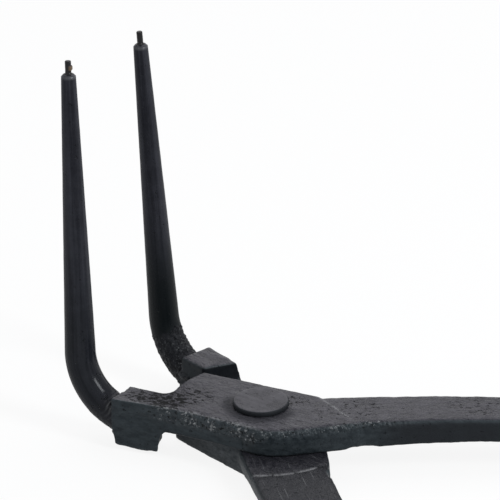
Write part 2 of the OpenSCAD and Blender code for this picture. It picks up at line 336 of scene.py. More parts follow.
def unevenness(tree, finish, place, flow):
    streaks = useGroup(tree, drawnStreaks, {"Vector": stretched(tree, flow, finish["streakSize"])})
    grain = grainAt(tree, finish, place)
    return streaks, grain, blended(tree, streaks["Tone"], grain["Tone"], finish["streakShare"])


def pitsAt(tree, finish, place, zone):
    inputs = {"Vector": place, "Pits per metre": finish["pitsPerMetre"], "Share": zone}
    return useGroup(tree, pitMarks, inputs)["Pits"]


def wearAt(tree, finish, place, edge):
    inputs = {"Vector": place, "Edge": edge, "Flecks per metre": finish["flecks"]}
    return useGroup(tree, wornEdges, inputs)["Wear"]


def skinOf(tree, finish, streaks, grain, pits):
    skin = raised(tree, streaks, finish["streakDepth"])
    skin = raised(tree, grain, finish["grainDepth"], skin)
    return raised(tree, pits, finish["pitDepth"], skin, sunk=True)


leverFinish = {
    # painted light: the tops are painted lighter and the walls darker, as light falls on them
    "litTopBlack": (0.0095, 0.0088, 0.014, 1), "litTopGrey": (0.051, 0.0488, 0.058, 1),
    "shadedWallBlack": (0.006, 0.01, 0.013, 1), "shadedWallGrey": (0.0295, 0.037, 0.042, 1),
    # the dull colour is painted shade on walls, the hollow and the lap face, and also darkens the inner
    # faces
    "dull": (0.006, 0.0066, 0.0085, 1), "pit": (0.002, 0.002, 0.002, 1),
    "worn": (0.22, 0.225, 0.23, 1), "bright": (0.3, 0.3, 0.31, 1),
    "roughness": (0.27, 0.42), "dullRough": 0.08, "matteRough": 0.3, "pitRough": 0.55,
    "specular": 0.2, "tint": (0.92, 0.96, 1.0, 1), "dullShare": 0.85,
    "pitsPerMetre": 1050.0, "pitStretch": (1.4, 1, 1), "pitDepth": 0.32 * mm,
    "grain": (420.0, 1900.0), "grainDepth": 0.45 * mm,
    "streakSize": (4 * mm, 1.4 * mm, 1.4 * mm), "streakDepth": 0.65 * mm,
    "streakShare": 0.6,  # of the tone; the rest is the grain's
    "wallShare": 0.25,  # how much of the tops' unevenness the walls have
    "scratchSize": (16 * mm, 0.5 * mm, 0.5 * mm), "scratches": 0.14, "scratchShare": 0.25,
    "flecks": 1150.0,
}
# the block's hollow: painted shade, with less shine
shadedHollowLook = dict(leverFinish, specular=0.05)
rivetFinish = dict(
    leverFinish, roughness=(0.26, 0.36), grainDepth=0.1 * mm, streakDepth=0.12 * mm, scratches=0.1,
    streakSize=(9 * mm, 4 * mm, 4 * mm))


def forgedMaterial(name, finish):
    material, tree, shader, place = startMaterial(name, finish)
    flow = painted(tree, "flow", "Vector")
    streaks, grain, tone = unevenness(tree, finish, place, flow)
    pits = pitsAt(tree, finish, stretched(tree, flow, finish["pitStretch"]), painted(tree, "pitting"))
    wear = wearAt(tree, finish, place, painted(tree, "edge"))
    top = painted(tree, "top")
    dull = painted(tree, "dull")
    # painted light: faces that face up or down get the lighter top colour, the walls the darker one
    shadedWallColour = mixColour(tree, tone, finish["shadedWallBlack"], finish["shadedWallGrey"])
    litTopColour = mixColour(tree, tone, finish["litTopBlack"], finish["litTopGrey"])
    colour = mixColour(tree, top, shadedWallColour, litTopColour)
    # painted shade, mixed in over the colour
    colour = mixColour(tree, times(tree, dull, finish["dullShare"]), colour, finish["dull"])
    lines = {"Vector": stretched(tree, flow, finish["scratchSize"]), "Share": finish["scratches"]}
    scratches = useGroup(tree, scratchMarks, lines)["Scratches"]
    scratches = times(tree, scratches, times(tree, top, finish["scratchShare"]))
    colour = mixColour(tree, scratches, colour, finish["worn"])
    colour = mixColour(tree, pits, colour, finish["pit"])
    colour = mixColour(tree, wear, colour, finish["worn"])
    colour = mixColour(tree, times(tree, painted(tree, "glint"), tone), colour, finish["bright"])
    rough = remap(tree, tone, 0.0, 1.0, *finish["roughness"])
    rough = plus(tree, rough, times(tree, dull, finish["dullRough"]))
    rough = plus(tree, rough, times(tree, pits, finish["pitRough"]))
    rough = plus(tree, rough, times(tree, painted(tree, "matte"), finish["matteRough"]))
    uneven = remap(tree, top, 0.0, 1.0, finish["wallShare"], 1.0)
    streakHeight = evened(tree, streaks["Height"], uneven)
    grainHeight = evened(tree, grain["Height"], uneven)
    endMaterial(tree, shader, colour, rough, skinOf(tree, finish, streakHeight, grainHeight, pits))
    return material


prongFinish = {
    "black": (0.0075, 0.008, 0.0115, 1), "grey": (0.0285, 0.0295, 0.037, 1),
    "foot": (0.0015, 0.0032, 0.0036, 1), "scale": (0.011, 0.0115, 0.014, 1),
    "worn": (0.18, 0.187, 0.192, 1), "bare": (0.24, 0.24, 0.245, 1),
    "roughness": (0.42, 0.56), "specular": 0.1, "tint": (0.95, 0.97, 1.0, 1),
    "roughReach": 1.5,  # tone and pitting together, where it is roughest
    "glossRough": 0.3,  # how much smoother the polished inside of the bend is
    "streakSize": (60 * mm, 1.9 * mm, 1.9 * mm), "streakDepth": 0.08 * mm, "streakShare": 0.75,
    "grain": (300.0, 1500.0), "grainDepth": 0.06 * mm,
    "pitsPerMetre": 700.0, "pitDepth": 0.4 * mm,
    "flecks": 1500.0, "fleckGain": 1.6,
    "leastWear": 0.5,  # wear of the scale away from the weld, as a share of that beside it
}
weldFinish = dict(prongFinish, scale=(0.03, 0.033, 0.036, 1), worn=(0.3, 0.31, 0.32, 1))


def turnedMaterial(name, finish):
    material, tree, shader, place = startMaterial(name, finish)
    streaks, grain, tone = unevenness(tree, finish, place, painted(tree, "flow", "Vector"))
    zone = painted(tree, "pitting")
    pits = pitsAt(tree, finish, place, zone)
    flecked = times(tree, zone, finish["fleckGain"])
    wear = wearAt(tree, finish, place, flecked)
    rootWear = remap(tree, painted(tree, "rootWear"), 0.0, 1.0, finish["leastWear"], 1.0)
    colour = mixColour(tree, tone, finish["black"], finish["grey"])
    colour = mixColour(tree, painted(tree, "foot"), colour, finish["foot"])
    colour = mixColour(tree, flecked, colour, finish["scale"])
    colour = mixColour(tree, times(tree, wear, rootWear), colour, finish["worn"])
    colour = mixColour(tree, painted(tree, "bare"), colour, finish["bare"])
    rough = remap(tree, plus(tree, tone, zone), 0.0, finish["roughReach"], *finish["roughness"])
    gloss = times(tree, painted(tree, "gloss"), finish["glossRough"])
    rough = minus(tree, rough, gloss)
    skin = skinOf(tree, finish, streaks["Height"], grain["Height"], pits)
    endMaterial(tree, shader, colour, rough, skin)
    return material


tipFinish = {
    "dark": (0.007, 0.007, 0.008, 1), "steel": (0.07, 0.069, 0.07, 1), "braze": (0.1, 0.068, 0.042, 1),
    "roughness": (0.28, 0.42), "specular": 0.22, "tint": (1, 1, 1, 1),
    "grain": (500.0, 2600.0), "grainDepth": 0.03 * mm, "flecks": 1500.0, "wearShare": 0.6,
}


def tipMaterial(name, finish):
    material, tree, shader, place = startMaterial(name, finish)
    grain = grainAt(tree, finish, place)
    wear = wearAt(tree, finish, place, painted(tree, "edge"))
    colour = mixColour(tree, times(tree, wear, finish["wearShare"]), finish["dark"], finish["steel"])
    colour = mixColour(tree, painted(tree, "braze"), colour, finish["braze"])
    rough = remap(tree, grain["Tone"], 0.0, 1.0, *finish["roughness"])
    endMaterial(tree, shader, colour, rough, raised(tree, grain["Height"], finish["grainDepth"]))
    return material


def dress(piece, material):
    piece.data.materials.append(material)
    makeActive(piece)
    bpy.ops.object.shade_smooth()
    print(piece.name, "has", len(piece.data.polygons), "faces")


# forged levers, with rounded edges, dents, lumps and pits; places on them are in mm
leverShape = {
    "halfOpen": math.radians(11.57), "upperLap": 8.25 * mm, "lowerLap": 8.2 * mm,
    "voxel": 0.42 * mm, "rounding": 5,
    "edgeMove": (0.02 * mm, 0.07 * mm),  # how far an edge sinks when it is rounded
    "broad": (9 * mm, 0.18 * mm),  # size and height of each unevenness
    "dents": (2.4 * mm, 0.2 * mm), "lumps": (0.95 * mm, 0.7 * mm),
    "nearSide": -15.1,
    "waist": (-17.8, 22.6, 1.5),  # middle, half length and depth of the near side's hollow
    "heel": (9.9, math.radians(37)), "heelRounding": 90,
    "ridge": (13.2, 12.1, 31.4, 1.1),  # its far and near ends
    "crest": (-0.2, 0.5),  # middle and width
    "crestHeight": 0.1 * mm, "lapRadius": 28.3,
    "seam": (1.0, 0.4),  # middle and width of an upright seam in the near wall
    "seamDepth": 0.25 * mm,
    "jawFlecks": 0.3,  # share of the flecks that the jaw has
    "heelThinner": 0.1,
    "flecksFrom": 2.2,  # height where they start, and how much higher that is at the heel
    "flecksRise": 2.6,
    "flecksFull": 2.2, "finerFlecks": 0.1,
    "pits": (-25, -9),  # the middle of the jaw's pits
    "blockDepth": 7.8, "blockRise": 0.35, "endReach": 1.2, "endLessLow": 0.85, "innerReach": 1.2,
    "longDrop": 0.6,  # the handle is a little thicker toward its root
    "shortDrop": 0.5, "underFacing": 0.5,
}
handleLine = {"start": (14, 2.6), "turn": math.radians(31.5), "firstBow": 390, "firstLength": 46,
              "secondBow": 180}
leverZones = {  # what a zone goes by, with the values where it starts and where it is full
    "heelEnd": [("heelAway", 6, 2.5), ("outward", 0.95, 0.7)],
    "crest": [("outward", 0.3, 0.7)],
    "seam": [("inside", 1.6, 0.6), ("height", 0.3, 1.5)],
    "lapped": [("height", 1.2, 0.4), ("height", -1.0, -0.4), ("reach", 31, 30)],
    "pastBore": [("reach", 8.5, 9.5)],
    "handleFlecks": [("side", -5.5, -7.5)],  # the lumpy band below the outer near edge
    "plateFlecks": [("inside", 3.4, 1.6)],
    "pastJaw": [("along", -36, -26)],
    "heelThinner": [("along", 6, 14)],
    "flecksRise": [("along", 4, 12)],
    "flecked": [("along", 50, 34), ("outward", 0.99, 0.93)],
    "end": [("across", -8, -14.5), ("along", -37.5, -40.4)],  # the jaw block
    "endLow": [("height", -0.5, -7)],
    "inner": [("along", -29, -31), ("across", -8.5, -5.3), ("height", -0.3, -1.5)],
    "flank": [("across", -11, -15), ("along", -17, -25), ("height", 4, 0)],
    "corner": [("across", -10, -15), ("along", -27, -38)],
    "far": [("across", 8, 11), ("height", 1, 4), ("along", -28, -20), ("along", 14, 8)],
    "lift": [("along", -33, -40.2)],
    "blockLow": [("along", -29, -31), ("height", -1, -6)],
    "root": [("pastRidge", -2.0, 0.5), ("reach", 28.3, 29.5), ("height", 4.0, 1.0)],  # the handle
    "longDrop": [("length", 140, 60)],
    "shortDrop": [("length", 36, 16)],
    "top": [("level", 0.75, 0.96)],  # faces that face up or down: painted lighter, as light falls on them; pits and scratches go there too
    "wall": [("level", 0.7, 0.3)],
    "crescent": [("heading", 15, 25), ("heading", 65, 55)],
    "innerFace": [("outward", -0.5, -0.9), ("pastLap", -2, 0)],
    "handleWall": [("length", 12, 30)],
    "heelWall": [("height", 5.5, 3.5)],
    "block": [("along", -25, -26.5)],
    "weldSide": [("across", -12, -9)],
    "lapFace": [("lapAway", 0.8, 0.3), ("pastLap", -0.3, -0.9)],
    "lapEdge": [("lapAway", 0.9, 0.3)],
    "rivetShadow": [("across", 3, -3)],
    "matte": [("outward", 0.985, 0.9)],
    "ridgeLine": [("downRidge", -0.1, 0.05)],
    "ridgeFaint": [("downRidge", 0.5, 0.95)],
    "nearEdge": [("along", 8, 0)],
    "farHandle": [("side", 6, 8)],
    "farPlate": [("across", 9, 11)],
    "farWall": [("height", 0.5, 3), ("along", -22, -12)],
}
finerParts = [  # these get smaller faces: a place, with its limits on either side
    [("pitAway", -math.inf, 8), ("outward", 0.8, math.inf)],
    [("pastRidge", -1.4, 1.4), ("outward", 0.3, math.inf)],
    [("pastLap", -1.2, 1.2), ("height", -1.2, 1.2)],
    [("along", -1, 3), ("inside", -math.inf, 1.5)],
]
upperOwn = {
    "turn": leverShape["halfOpen"], "lap": leverShape["upperLap"], "flip": 1, "endLift": 0.6,
    "flank": 0.0, "farBulge": 0.0, "cornerTuck": 0.0, "shaded": False, "flecks": 1.0, "floorReflection": 0.0}
lowerOwn = {
    "turn": -leverShape["halfOpen"], "lap": leverShape["lowerLap"], "flip": -1, "endLift": 0.0,
    "flank": 2.4, "farBulge": 0.6, "cornerTuck": 0.7, "shaded": True, "flecks": 0.55, "floorReflection": 0.22}


def alongHandle(x, y):  # length along the handle's bowed middle line, and distance beside it
    line = handleLine
    startX, startY = line["start"]
    turn, bow = line["turn"], line["firstBow"]
    laterTurn = turn - line["firstLength"] / bow
    middleX, middleY = startX + bow * math.sin(turn), startY - bow * math.cos(turn)
    laterBow = line["secondBow"]
    laterX = middleX + (laterBow - bow) * math.sin(laterTurn)
    laterY = middleY - (laterBow - bow) * math.cos(laterTurn)
    heading = np.arctan2(y - middleY, x - middleX) - math.pi / 2
    laterHeading = np.arctan2(y - laterY, x - laterX) - math.pi / 2
    length = (turn - heading) * bow
    later = length > line["firstLength"]
    length = np.where(later, line["firstLength"] + (laterTurn - laterHeading) * laterBow, length)
    laterSide = np.hypot(x - laterX, y - laterY) - laterBow
    side = np.where(later, laterSide, np.hypot(x - middleX, y - middleY) - bow)
    return length, side


def leverPlaces(piece, own):  # each point's place on the lever
    shape = leverShape
    turn, flip = own["turn"], own["flip"]
    co, normals = places(piece), facing(piece)
    x = (co[:, 0] * math.cos(turn) + co[:, 1] * math.sin(turn)) / mm
    y = (co[:, 1] * math.cos(turn) - co[:, 0] * math.sin(turn)) * flip / mm
    height = (co[:, 2] - own["lap"]) * flip / mm
    outward = normals[:, 2] * flip
    forward = normals[:, 0] * math.cos(turn) + normals[:, 1] * math.sin(turn)
    farX, farY, nearX, nearY = shape["ridge"]
    ridgeLength = math.hypot(nearX - farX, nearY - farY)
    pastRidge = ((x - farX) * (farY - nearY) + (y - farY) * (nearX - farX)) / ridgeLength
    downRidge = ((x - farX) * (nearX - farX) + (y - farY) * (nearY - farY)) / ridgeLength ** 2
    length, side = alongHandle(x, y)
    middle, half, depth = shape["waist"]
    hollow = depth * np.clip(1 - ((x - middle) / half) ** 2, 0, None)
    heelX, heelTurn = shape["heel"]
    fromNear = y - shape["nearSide"] - hollow
    fromHeel = (y - shape["nearSide"]) * math.cos(heelTurn) - (x - heelX) * math.sin(heelTurn)
    inside = np.where(x < heelX, fromNear, np.minimum(fromNear, fromHeel))
    reach = np.hypot(x, y)
    pitX, pitY = shape["pits"]
    return dict(
        along=x, across=y, height=height, lapAway=np.abs(height), outward=outward, level=np.abs(outward),
        forward=forward, pastRidge=pastRidge, downRidge=downRidge, length=length, side=side, inside=inside,
        heelAway=np.hypot(x - nearX, y - nearY), pitAway=np.hypot(x - pitX, y - pitY),
        reach=reach, pastLap=reach - shape["lapRadius"], heading=np.degrees(np.arctan2(y, x)))


def zone(spot, name):
    share = 1.0
    for place, start, full in leverZones[name]:
        share = share * fade(spot[place], start, full)
    return share


def flecksOf(spot):
    shape = leverShape
    share = np.where(spot["pastRidge"] > 0, zone(spot, "handleFlecks"), zone(spot, "plateFlecks"))
    share = share * (shape["jawFlecks"] + (1 - shape["jawFlecks"]) * zone(spot, "pastJaw"))
    share = share * (1 - shape["heelThinner"] * zone(spot, "heelThinner")) * zone(spot, "flecked")
    low = shape["flecksFrom"] + shape["flecksRise"] * zone(spot, "flecksRise")
    return share * fade(spot["height"] - low, 0, shape["flecksFull"])


def finePoints(spot):
    fine = flecksOf(spot) > leverShape["finerFlecks"]
    for part in finerParts:
        fine |= np.all([(low < spot[place]) & (spot[place] < high) for place, low, high in part], 0)
    return fine


def shapeBlock(piece, spot, own):  # the jaw block's slanted end, and the handle's root
    shape = leverShape
    depth = np.clip(-spot["height"] / shape["blockDepth"], 0, 1)
    alongMove = -shape["endReach"] * zone(spot, "end") * (1 - shape["endLessLow"] * zone(spot, "endLow"))
    acrossMove = shape["innerReach"] * zone(spot, "inner") + own["farBulge"] * zone(spot, "far")
    acrossMove = acrossMove - own["flank"] * zone(spot, "flank") * np.sqrt(1 - depth)
    acrossMove = acrossMove + own["cornerTuck"] * zone(spot, "corner") * depth
    lift = own["endLift"] * zone(spot, "lift") - shape["blockRise"]
    drop = shape["longDrop"] * zone(spot, "longDrop") + shape["shortDrop"] * zone(spot, "shortDrop")
    rooted = zone(spot, "root") * (spot["outward"] < shape["underFacing"]) * (spot["along"] > 0)
    heightMove = zone(spot, "blockLow") * lift - drop * rooted
    turn, flip = own["turn"], own["flip"]
    moved = np.stack([alongMove * math.cos(turn) - acrossMove * flip * math.sin(turn),
                      alongMove * math.sin(turn) + acrossMove * flip * math.cos(turn),
                      heightMove * flip], 1)
    movePlaces(piece, places(piece) + moved * mm)


def shapeLever(piece, own):  # gives the places of the smooth lever's points, before it gets rough
    shape = leverShape
    refine(piece, finePoints(leverPlaces(piece, own)))
    shapeBlock(piece, leverPlaces(piece, own), own)
    paintGroup(piece, "heelEnd", zone(leverPlaces(piece, own), "heelEnd"))
    smooth(piece, shape["heelRounding"], "heelEnd")
    spot = leverPlaces(piece, own)
    spot["flecked"] = flecksOf(spot)
    spot["seam"] = hump(spot["along"], *shape["seam"]) * zone(spot, "seam")
    spot["crest"] = hump(spot["pastRidge"], *shape["crest"]) * zone(spot, "crest")
    return spot


def roughLever(piece, spot):
    shape = leverShape
    skin = (1 - zone(spot, "lapped")) * zone(spot, "pastBore")
    paintGroup(piece, "skin", skin)
    paintGroup(piece, "lumpy", skin * spot["flecked"])
    roughen(piece, "broadLumps", shape["broad"], "skin")
    roughen(piece, "forgeDents", shape["dents"], "skin")
    roughen(piece, "scaleLumps", shape["lumps"], "lumpy")
    pushOut(piece, shape["crestHeight"] * spot["crest"] - shape["seamDepth"] * spot["seam"])


pitZones = [  # place along and across the lever, reach, share of pits
    (-26, -9, 9, 1.0), (-33, -10, 7, 0.75), (-20, -3, 8, 0.6), (8, 6, 5, 0.5), (20, 5, 7, 0.3),
    (27, 11, 9, 0.3), (58, 29, 12, 0.35),
]
leverPaint = {  # amounts and limits; a ring is its radius and width
    "leastPits": 0.04, "pitCore": 0.5, "seamPits": 0.35, "fleckPits": 0.35,
    "crescent": (10.3, 0.6),  # an arc of pits beside the rivet
    "edgeWear": 0.6, "fleckWearAndHighlight": 0.95, "seamClean": 0.9,
    "handleWall": 0.9, "heelWall": 0.15, "weldSide": 0.5, "lapFace": 0.75,
    "blockTop": -0.3, "hollowForward": 0.3, "hollowShare": 0.5,
    "rivetShadow": 0.75, "rivetShadowRing": (9.7, 1.8), "rivetShadowUp": 0.9, "rivetShadowMatte": 1.3,  # painted shadow, dark, in front of the rivet
    "matteDown": -0.5,
    "lapEdge": 0.5, "lapEdgeRing": (-0.2, 0.45),
    "ridgeLine": 0.6, "ridgeFaint": 0.9,
    "nearEdge": 0.5, "nearEdgeFacing": (0.86, 0.1), "nearEdgeInside": 2.2, "nearEdgeAbove": 4,
    "handleShift": 40,  # keeps the handle's pattern apart from the plate's
}


def pitsOf(spot):
    look = leverPaint
    crescent = hump(spot["reach"], *look["crescent"]) * zone(spot, "crescent")
    pitting = np.maximum(look["leastPits"], crescent)
    for x, y, size, share in pitZones:
        away = np.hypot(spot["along"] - x, spot["across"] - y)
        pitting = np.maximum(pitting, share * fade(away, size, look["pitCore"] * size))
    pitting = pitting * zone(spot, "top") * (spot["outward"] > 0)
    return pitting + look["seamPits"] * spot["seam"] + look["fleckPits"] * spot["flecked"] ** 2


def hollowOf(spot, own):  # the block's shaded hollow, and its other walls
    block = own["shaded"] * zone(spot, "block") * zone(spot, "wall")
    block = block * (spot["height"] < leverPaint["blockTop"])
    ahead = spot["forward"] > leverPaint["hollowForward"]
    return block * ahead, block * ~ahead


# painted shadow of the rivet's head on the plate in front of it
def rivetShadowOf(spot):
    ring = leverPaint["rivetShadow"] * hump(spot["reach"], *leverPaint["rivetShadowRing"])
    return ring * zone(spot, "rivetShadow") * (spot["outward"] > leverPaint["rivetShadowUp"])


# painted shade: the handle's and heel's walls, the block's hollow, the lap face under the upper lever, the
# rivet's shadow and the block's walls beside the weld; the handle's inner faces are darker and rougher too
def dullOf(spot, own):
    look = leverPaint
    hollow, otherWalls = hollowOf(spot, own)
    handleWall = look["handleWall"] * zone(spot, "handleWall") * (spot["pastRidge"] > 0)
    heelWall = look["heelWall"] * zone(spot, "heelWall") * (spot["along"] > leverShape["seam"][0])
    walls = zone(spot, "wall") * np.maximum(handleWall, heelWall)
    innerFace = zone(spot, "innerFace") * (spot["along"] > 0)
    lapFace = look["lapFace"] * zone(spot, "lapFace")
    weldSide = look["weldSide"] * otherWalls * zone(spot, "weldSide")
    return np.maximum.reduce([innerFace, hollow, walls, rivetShadowOf(spot), lapFace, weldSide])


# painted highlights on the lap edge, the ridge line and the plate's near top edge, and a painted
# reflection of the floor on the lower lever's far wall
def glintOf(spot, own):
    look = leverPaint
    handled = spot["pastRidge"] > 0
    lapEdge = hump(spot["pastLap"], *look["lapEdgeRing"]) * zone(spot, "lapEdge") * handled
    faint = 1 - look["ridgeFaint"] * zone(spot, "ridgeFaint")
    ridgeLine = spot["crest"] * faint * zone(spot, "ridgeLine")
    nearEdge = hump(spot["outward"], *look["nearEdgeFacing"]) * zone(spot, "nearEdge") * ~handled
    nearEdge = nearEdge * (spot["inside"] < look["nearEdgeInside"])
    nearEdge = nearEdge * (spot["height"] > look["nearEdgeAbove"])
    farWall = np.where(handled, zone(spot, "farHandle"), zone(spot, "farPlate"))
    farWall = own["floorReflection"] * farWall * zone(spot, "wall") * zone(spot, "farWall")
    return np.maximum.reduce([look["lapEdge"] * lapEdge, look["ridgeLine"] * ridgeLine,
                              look["nearEdge"] * nearEdge, farWall])


def paintLever(piece, spot, own):
    look = leverPaint
    edge = look["edgeWear"] * takeAttribute(piece, "edge")
    # the lumpy band's light flecks: partly paint wear, partly painted highlights on the lumps
    edge = np.maximum(edge, look["fleckWearAndHighlight"] * own["flecks"] * spot["flecked"])
    matte = zone(spot, "matte") * (spot["outward"] > look["matteDown"]) * (1 - spot["flecked"])
    paint(piece, top=zone(spot, "top"), edge=edge * (1 - look["seamClean"] * spot["seam"]),
          pitting=pitsOf(spot), dull=dullOf(spot, own),
          matte=np.maximum(matte, look["rivetShadowMatte"] * rivetShadowOf(spot)), glint=glintOf(spot, own))
    handled = spot["pastRidge"] > 0
    lengthwise = np.where(handled, spot["length"], spot["along"])
    across = np.where(handled, spot["side"] + look["handleShift"], spot["across"])
    paintFlow(piece, mm * lengthwise, mm * across, mm * spot["height"])


def makeLever(node, name, own):
    piece = copyNode(node, name)
    paint(piece, edge=fade(roundOff(piece, leverShape), *leverShape["edgeMove"]))
    spot = shapeLever(piece, own)
    roughLever(piece, spot)
    paintLever(piece, spot, own)
    dress(piece, forgedBlack)
    # the hollow's faces take the darker, less shiny material: painted shade
    piece.data.materials.append(shadedBlack)
    shaded = hollowOf(spot, own)[0] > leverPaint["hollowShare"]
    inHollow = [int(all(shaded[corner] for corner in face.vertices)) for face in piece.data.polygons]
    piece.data.polygons.foreach_set("material_index", inHollow)
    return piece


forgedBlack = forgedMaterial("forgedBlack", leverFinish)
shadedBlack = forgedMaterial("shadedBlack", shadedHollowLook)
upperLever = makeLever("upper_lever", "upperLever", upperOwn)
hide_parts("upper_lever")
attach(upperLever, "upper_half")

lowerLever = makeLever("lower_lever", "lowerLever", lowerOwn)
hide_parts("lower_lever")
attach(lowerLever, "lower_half")
print("levers done")


# prongs: a ring spun through the bend, then drawn out along the taper
prongShape = {
    "vertices": 88, "bendSteps": 84, "taperCuts": 180,
    "rootWidth": 10.3 * mm, "width": 9.2 * mm, "endWidth": 4.3 * mm, "chamfer": 0.6 * mm,
    "leanOut": math.radians(2.25), "leanIn": math.radians(2.73), "buried": math.radians(24),
    "armEnd": 40.4 * mm, "rootSide": 9.8 * mm, "rootHeight": 0.5 * mm,
    "free": (0.1 * mm, 1.5 * mm),  # from the jaw block's face, where the surface gets uneven
    "plainEnd": 6 * mm,
    "broad": (6 * mm, 0.07 * mm),
    "scale": (0.9 * mm, 0.6 * mm),
    "ragged": (1.1, 2, 0.8),  # the scale's rim: wander in mm, waves round the prong, and their start
    "raggedFine": (0.7, 7),
    "rootWear": (0.8, 0.55),  # middle and width of the worn weld round the root, in radians
    "rootWearEnd": (7, 5),
    "rootRipple": (1.5 * mm, 0.35 * mm),  # length and height of the weld's ripples on the root
    "rippleSlant": 2.5, "rippleWave": (1.4, 6), "paleCrests": 0.45,
    "bendInside": (-2, 1), "glossStart": (1, 4), "glossEnd": (36, 24),
    "ring": (0.9 * mm, 0.6 * mm),  # ring of painted highlight, from the end
    "ringHighlight": 0.22, "ringEnd": 0.1 * mm,
    "pits": 0.55, "footEnd": (60, 30),
}
leftProngShape = {
    "bend": 19.3 * mm, "rise": math.radians(15.2), "taper": 85.599 * mm, "side": -1, "scaled": (10, 7),
    "scale": 0.5, "gloss": 1.0, "foot": 0.4, "weldFlecks": 0.75, "rootWear": 1.0}
rightProngShape = {
    "bend": 16.5 * mm, "rise": math.radians(8), "taper": 88.076 * mm, "side": 1, "scaled": (19, 17.5),
    "scale": 1.0, "gloss": 0.0, "foot": 0.9, "weldFlecks": 0.45, "rootWear": 0.0}
finalRise = math.pi / 2 - prongShape["leanOut"]
turnedBlack = turnedMaterial("turnedBlack", prongFinish)


def prongPlace(own):
    shape, side = prongShape, own["side"]
    lapZ = leverShape["upperLap"] if side < 0 else leverShape["lowerLap"]
    root = Vector((-shape["armEnd"], side * shape["rootSide"], -side * shape["rootHeight"]))
    return (Matrix.Translation((0, 0, lapZ))
            @ Matrix.Rotation(-side * leverShape["halfOpen"], 4, "Z")
            @ Matrix.Translation(root)
            @ Matrix.Rotation(side * shape["leanIn"], 4, "X")
            @ Matrix.Rotation(math.pi, 4, "Z"))


def bendCentreOf(own):
    return own["bend"] * Vector((-math.sin(own["rise"]), 0, math.cos(own["rise"])))


def onBend(own, rise):
    return bendCentreOf(own) + own["bend"] * Vector((math.sin(rise), 0, -math.cos(rise)))


def bendPlaces(co, own):  # rise, middle line and length along it of each point of a prong
    middle, bend = bendCentreOf(own), own["bend"]
    rise = np.arctan2(co[:, 0] - middle.x, middle.z - co[:, 2])
    rise = np.where(rise < -math.pi / 2, finalRise, rise)
    bent = np.minimum(rise, finalRise)
    line = np.stack([middle.x + bend * np.sin(bent), 0 * bent, middle.z - bend * np.cos(bent)], 1)
    drawn = np.array([math.cos(finalRise), 0, math.sin(finalRise)])
    past = np.where(rise >= finalRise, np.clip((co - line) @ drawn, 0, None), 0)
    line = line + past[:, None] * drawn
    return bent, line, bend * (bent - own["rise"]) + past


def drawProng(name, own):
    shape = prongShape
    startRise = own["rise"] - shape["buried"]
    bpy.ops.object.select_all(action="DESELECT")
    bpy.ops.mesh.primitive_circle_add(
        vertices=shape["vertices"], radius=shape["width"] / 2, location=onBend(own, startRise),
        rotation=(0, math.pi / 2 - startRise, 0))
    piece = bpy.context.object
    piece.name = name
    bpy.ops.object.transform_apply(location=True, rotation=True, scale=True)
    editAll(piece)
    bpy.ops.mesh.edge_face_add()  # closes the buried end
    bpy.ops.mesh.spin(steps=shape["bendSteps"], angle=finalRise - startRise, center=bendCentreOf(own),
                      axis=(0, 1, 0))
    drawn = Vector((math.cos(finalRise), 0, math.sin(finalRise)))
    end = onBend(own, finalRise)
    for length, width, fromWidth in (
            (own["taper"] - shape["chamfer"], shape["endWidth"], shape["width"]),
            (shape["chamfer"], shape["endWidth"] - 2 * shape["chamfer"], shape["endWidth"])):
        bpy.ops.mesh.extrude_region_move(TRANSFORM_OT_translate={"value": drawn * length})
        end = end + drawn * length
        share = width / fromWidth
        bpy.ops.transform.resize(value=(share, share, share), center_override=end)
    bpy.ops.mesh.select_mode(type="EDGE")
    bpy.ops.mesh.select_all(action="DESELECT")
    backToObject()
    for edge in piece.data.edges:  # the long edges of the taper
        first, second = (piece.data.vertices[i].co for i in edge.vertices)
        edge.select = (first - second).length > own["taper"] / 2
    bpy.ops.object.mode_set(mode="EDIT")
    bpy.ops.mesh.subdivide(number_cuts=shape["taperCuts"])
    bpy.ops.mesh.select_mode(type="VERT")
    backToObject()
    return piece


def swellRoot(piece, own):  # thicker toward the root, and cut flat there
    co = places(piece)
    bent, line, length = bendPlaces(co, own)
    slim = np.clip((bent - own["rise"]) / (finalRise - own["rise"]), 0, 1)
    swell = 1 + (prongShape["rootWidth"] / prongShape["width"] - 1) * (1 - slim)
    movePlaces(piece, line + (co - line) * swell[:, None])
    editAll(piece)
    bpy.ops.mesh.bisect(plane_co=(0, 0, 0), plane_no=(1, 0, 0), use_fill=True, clear_inner=True)
    bpy.ops.mesh.select_all(action="SELECT")
    bpy.ops.mesh.normals_make_consistent(inside=False)
    backToObject()


